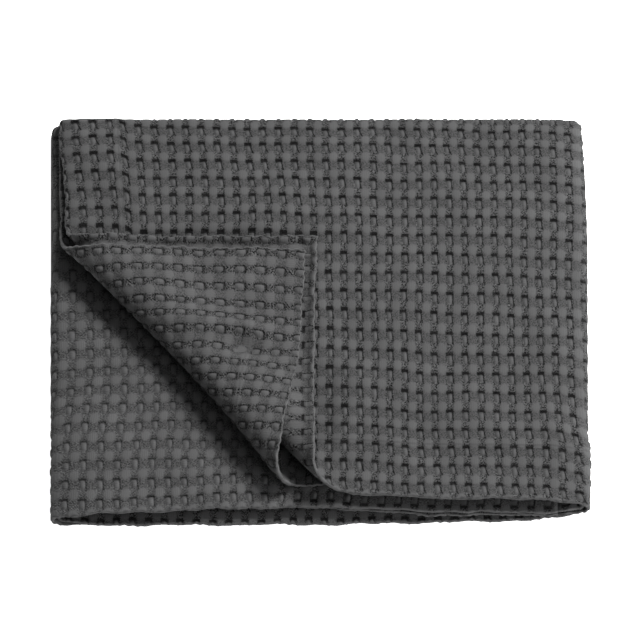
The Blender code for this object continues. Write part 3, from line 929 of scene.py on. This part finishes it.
class Weave(Graph):
    """Nodes for a place on the cloth, from what the mesh carries of its cell."""

    def __init__(self, tree):
        super().__init__(tree)
        self.column, self.row, self.edge = self.parts("weave")
        self.bump_u, self.bump_v, self.ring = self.parts("bump")
        self.patch_u, self.patch_v, self.slant = self.parts("patch")
        self.open_u, self.open_v, self.calm = self.parts("open")
        self.under = self.ramp(self.open_v, *ON_UNDER)
        self.own_chances()
        self.cell_shapes()
        self.draw_gap_shade()
        self.draw_yarns()

    def from_middle(self, value):
        """How far a column or row is from the middle of its cell."""
        return self.less(self.math("FRACT", value), 0.5)

    def spread(self, chance, low, high):
        """A value between two, by a chance from 0 to 1."""
        return self.ramp(chance, 0.0, 1.0, low, high)

    def dimmed(self, share, most):
        """1 where the share is 0, and less by the most where it is 1."""
        return self.less(1.0, self.times(share, most))

    def own_chances(self):
        """Chances from 0 to 1 that each bump and each patch has of its own."""
        bump = self.vector(self.math("FLOOR", self.column), self.math("FLOOR", self.row))
        own = self.node("TexWhiteNoise", {"Vector": bump}).outputs["Color"]
        self.own_size, self.own_gap, self.own_tone = self.node("SeparateColor", {0: own}).outputs
        patch = self.vector(self.math("ROUND", self.column), self.math("ROUND", self.row), PATCH_CHANCES)
        self.own_patch = self.node("TexWhiteNoise", {"Vector": patch}).outputs["Value"]

    def cell_shapes(self):
        """How far the place is from the middles of the nearest bump and patch."""
        self.from_bump_u = self.from_middle(self.column)
        self.from_bump_v = self.from_middle(self.row)
        self.from_patch_u = self.from_middle(self.add(self.column, 0.5))
        from_patch_v = self.from_middle(self.add(self.row, 0.5))
        bump_u = self.times(self.bump_u, self.spread(self.own_size, *OWN_SIZES))
        bump_v = self.times(self.bump_v, self.spread(self.own_tone, *OWN_SIZES))
        self.by_u = self.over(self.from_bump_u, bump_u)
        self.by_v = self.over(self.from_bump_v, bump_v)
        self.bump = self.round_distance(self.by_u, self.by_v, BUMP_LOOK)
        patch_u = self.over(self.from_patch_u, self.patch_u)
        self.patch = self.round_distance(patch_u, self.over(from_patch_v, self.patch_v), PATCH_LOOK)

    def draw_gap_shade(self):
        """Painted shade in the gaps round the bumps and at two sides of them, with the shade by them."""
        toward_u = self.times(self.from_bump_u, self.math("SIGN", self.open_u))
        toward_v = self.times(self.from_bump_v, self.math("SIGN", self.open_v))
        outline = self.outline_gap_shade(toward_v)
        bar = self.end_gap_shade(toward_u, toward_v)
        side = self.side_gap_shade(toward_u, toward_v)
        shade = self.math(
            "MAXIMUM",
            self.times(self.by_u, self.open_u, SHADE_ALONG),
            self.times(self.by_v, self.open_v),
        )
        self.shade = self.times(self.ramp(shade, *SHADE_SOFT), self.ramp(self.bump, *SHADE_REACH))
        # the gaps' darkness is painted shade, strongest on the side that the light leaves in shadow
        gap = self.math("MINIMUM", self.math("MAXIMUM", self.math("MAXIMUM", bar, side), outline), 1.0)
        own = self.spread(self.own_gap, *OWN_GAP_SHADES)
        self.gap = self.times(gap, own, self.ramp(self.edge, *GAP_SHADE_FROM_EDGE))

    def outline_gap_shade(self, toward_v):
        """Painted shade in the narrow gap all round a bump."""
        off = self.over(self.less(self.bump, GAP_PLACE), OUTLINE_WIDTH)
        cap = self.mix(self.under, 1.0, self.ramp(toward_v, *OUTLINE_START))
        return self.times(self.math("EXPONENT", self.times(off, off, -1.0)), self.ring, cap)

    def end_gap_shade(self, toward_u, toward_v):
        """Painted shade in the wide gap at the end of a bump, with a halo of painted shade round it."""
        ramp, bar_shading = self.ramp, self.absolute(self.open_v)
        place = self.add(self.times(self.bump_v, BAR_PLACE), self.spread(self.own_tone, *OWN_PLACES))
        off = self.absolute(self.less(toward_v, place))
        width = self.add(BAR_WIDTH, self.times(bar_shading, BAR_SHADE_WIDENS))
        ends = self.absolute(self.add(toward_u, BAR_SHIFT))
        strength = self.times(bar_shading, BAR_STRENGTH)
        # a halo of painted shade round the gap at the bump's end
        self.halo_shade = self.times(ramp(off, *HALO_SHADE_SOFT), ramp(ends, *HALO_SHADE_ENDS), strength)
        return self.times(ramp(self.over(off, width), *BAR_SOFT), ramp(ends, *BAR_ENDS), strength)

    def side_gap_shade(self, toward_u, toward_v):
        """Painted shade in the slanting gap at the side of a bump."""
        straight = self.less(toward_u, self.times(self.bump_u, SIDE_PLACE))
        off = self.absolute(self.add(straight, self.times(toward_v, self.slant)))
        ends = self.absolute(self.over(self.add(toward_v, SIDE_SHIFT), self.bump_v))
        strength = self.times(self.absolute(self.open_u), self.ramp(toward_v, *SIDE_LOW_END))
        return self.times(self.ramp(off, *SIDE_SOFT), self.ramp(ends, *SIDE_ENDS), strength)

    def scaled(self, scale_u, scale_v, layer=0.0):
        """The place in the weave, scaled for a noise."""
        return self.vector(self.times(self.column, scale_u), self.times(self.row, scale_v), layer)

    def grain(self, layer, scale, detail, rough):
        """Noise as fine as the yarns."""
        return self.noise(self.scaled(GRAIN_U, GRAIN_V, layer), scale, detail, rough)

    def draw_yarns(self):
        """Floats on the patches and the bumps, small knots and speckles between them, and stitches."""
        self.on_patch = self.ramp(self.patch, *ON_PATCH)
        self.on_bump = self.ramp(self.bump, *ON_BUMP)
        between = self.less(1.0, self.math("MAXIMUM", self.on_patch, self.on_bump))
        yarns = [self.times(self.column, math.pi * YARNS_U), self.times(self.row, math.pi * YARNS_V)]
        frayed = self.noise(self.scaled(FRAY_SCALE, FRAY_SCALE), 1.0)
        frayed_yarns = [self.add(yarn, self.times(frayed, by)) for yarn, by in zip(yarns, FRAY_SHIFTS)]
        self.knots = self.times(*(self.math("SINE", yarn) for yarn in frayed_yarns))
        floats = [self.math("COSINE", self.times(yarn, FLOAT_YARNS)) for yarn in reversed(yarns)]
        self.floats = self.times(self.less(1.0, between), self.mix(self.on_patch, *floats))
        self.fuzz = self.grain(*FUZZ)
        self.speckle = self.ramp(self.grain(*SPECKLE), *SPECKLE_RANGE)
        self.uneven = self.noise(self.vector(self.column, self.row), UNEVEN_SCALE)
        self.beside = self.math("COSINE", self.times(self.from_patch_u, 2 * math.pi))
        rough = self.mix(self.under, self.ramp(self.beside, *ROUGH_BESIDE), ROUGH_ON_UNDER)
        self.rough = self.times(between, rough)
        stitch = self.ramp(self.absolute(self.less(self.edge, HEM_WIDTH)), *THREAD)
        self.stitch = self.times(stitch, self.ramp(self.calm, *STITCH_PLIES))

    def base_tone(self):
        """Tone of the cloth beside the patches and the bumps, on them, and in their painted shade and
        halos.
        """
        mix, times, under = self.mix, self.times, self.under
        tone = mix(self.ramp(self.beside, -1.0, 1.0), mix(under, *ROUGH_TONES), self.calm)
        patch = times(mix(under, *PATCH_TONES), self.spread(self.own_patch, *OWN_PATCH_TONES))
        bump = self.add(self.spread(self.own_tone, *OWN_BUMP_TONES), times(self.calm, BUMP_CALM))
        tone = mix(self.on_bump, mix(self.on_patch, tone, patch), bump)
        # painted shade on the bumps and round their gaps darkens the tone
        return times(tone, self.dimmed(self.shade, SHADE_DARKENS), self.dimmed(self.halo_shade, HALO_SHADE_DARKENS))

    def tone(self):
        """The base tone with yarns, fuzz, the edges' painted highlight, stitches and the gaps' painted
        shade.
        """
        mix, times, ramp, add = self.mix, self.times, self.ramp, self.add
        speckled = add(times(self.knots, KNOTS_TONE), times(self.speckle, SPECKLE_TONE))
        speckled = times(self.rough, speckled, mix(self.under, *SPECKLED))
        tone = times(self.base_tone(), add(1.0, speckled), add(1.0, times(self.floats, FLOATS_TONE)))
        tone = times(tone, ramp(self.fuzz, *FUZZ_TONE), ramp(self.uneven, *UNEVEN_TONE))
        # painted highlight: lighter at the cloth's very edge
        tone = mix(ramp(self.edge, *THREAD), tone, EDGE_HIGHLIGHT_TONE)
        # painted shade in the gaps darkens the tone
        return times(tone, mix(self.stitch, 1.0, STITCH_TONE), self.dimmed(self.gap, GAP_SHADE_DARKENS))

    def height(self):
        """Relief that is too fine for the mesh."""
        times, ramp = self.times, self.ramp
        return self.add(
            times(ramp(self.bump, *GAP_SINKS), GAP_HEIGHT),
            times(ramp(self.bump, *CROWN_RISES), CROWN_HEIGHT),
            times(self.on_patch, PATCH_HEIGHT),
            times(self.rough, self.knots, KNOTS_HEIGHT),
            times(self.floats, FLOATS_HEIGHT),
            times(self.fuzz, self.mix(self.rough, *FUZZ_HEIGHTS)),
            times(self.speckle, self.rough, SPECKLE_HEIGHT),
            times(self.stitch, STITCH_HEIGHT),
        )


def plain_material(name, surface_values):
    """A new material and its shader, with the values of a short table."""
    material = bpy.data.materials.new(name)
    material.use_nodes = True
    shader = material.node_tree.nodes["Principled BSDF"]
    for label, value in surface_values:
        shader.inputs[label].default_value = value
    return material, shader


def cotton():
    """Charcoal waffle weave: smooth patches, bumps with painted shade in their gaps, speckled yarn between.
    """
    material, shader = plain_material("charcoal_waffle_cotton", COTTON_SURFACE)
    weave = Weave(material.node_tree)
    tone = weave.tone()
    colour = weave.node("CombineColor", {0: tone, 1: tone, 2: weave.times(tone, BLUE)})
    raised = {"Strength": HEIGHT_STRENGTH, "Distance": 1.0, "Height": weave.height()}
    bumped = weave.node("Bump", raised)
    material.node_tree.links.new(colour.outputs[0], shader.inputs["Base Color"])
    material.node_tree.links.new(bumped.outputs[0], shader.inputs["Normal"])
    return material


def placed(name, data):
    """A new object in the scene."""
    made = bpy.data.objects.new(name, data)
    bpy.context.scene.collection.objects.link(made)
    return made


def camera():
    """The photograph's view."""
    data = bpy.data.cameras.new("camera")
    data.type = "ORTHO"
    data.ortho_scale = VIEW_WIDTH
    view = placed("camera", data)
    right, up = VIEW_CENTRE
    sine, cosine = math.sin(VIEW_ELEVATION), math.cos(VIEW_ELEVATION)
    view.location = (right, up * sine - VIEW_DISTANCE * cosine, up * cosine + VIEW_DISTANCE * sine)
    view.rotation_euler = (math.pi / 2 - VIEW_ELEVATION, 0, 0)
    bpy.context.scene.camera = view


def area_light(name, place, aim, size, watts):
    """A square light at its place, turned to its aim."""
    data = bpy.data.lights.new(name, "AREA")
    data.shape = "SQUARE"
    data.size = size
    data.energy = watts
    light = placed(name, data)
    light.location = place
    light.rotation_euler = (Vector(aim) - Vector(place)).to_track_quat("-Z", "Y").to_euler()


def studio():
    """A white floor with a little light of its own, a pale world and the lights."""
    mesh = bpy.data.meshes.new("floor")
    corners = [(x * FLOOR_HALF, y * FLOOR_HALF, 0) for x, y in ((-1, -1), (1, -1), (1, 1), (-1, 1))]
    mesh.from_pydata(corners, [], [(0, 1, 2, 3)])
    mesh.materials.append(plain_material("pale_floor", FLOOR_SURFACE)[0])
    floor = placed("floor", mesh)
    floor.location.z = FLOOR_Z
    world = bpy.data.worlds.new("studio")
    world.use_nodes = True
    background = world.node_tree.nodes["Background"]
    background.inputs["Color"].default_value = (1, 1, 1, 1)
    background.inputs["Strength"].default_value = WORLD_STRENGTH
    bpy.context.scene.world = world
    for light in LIGHTS:
        area_light(*light)


def main():
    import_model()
    material = cotton()
    for name, spans_u, spans_v in PIECES:
        piece, (length, width) = cloth_piece(name, spans_u, spans_v, material)
        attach(piece, "root")
        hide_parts("blanket")
    studio()
    camera()
    bpy.context.scene.view_settings.view_transform = "Standard"


main()
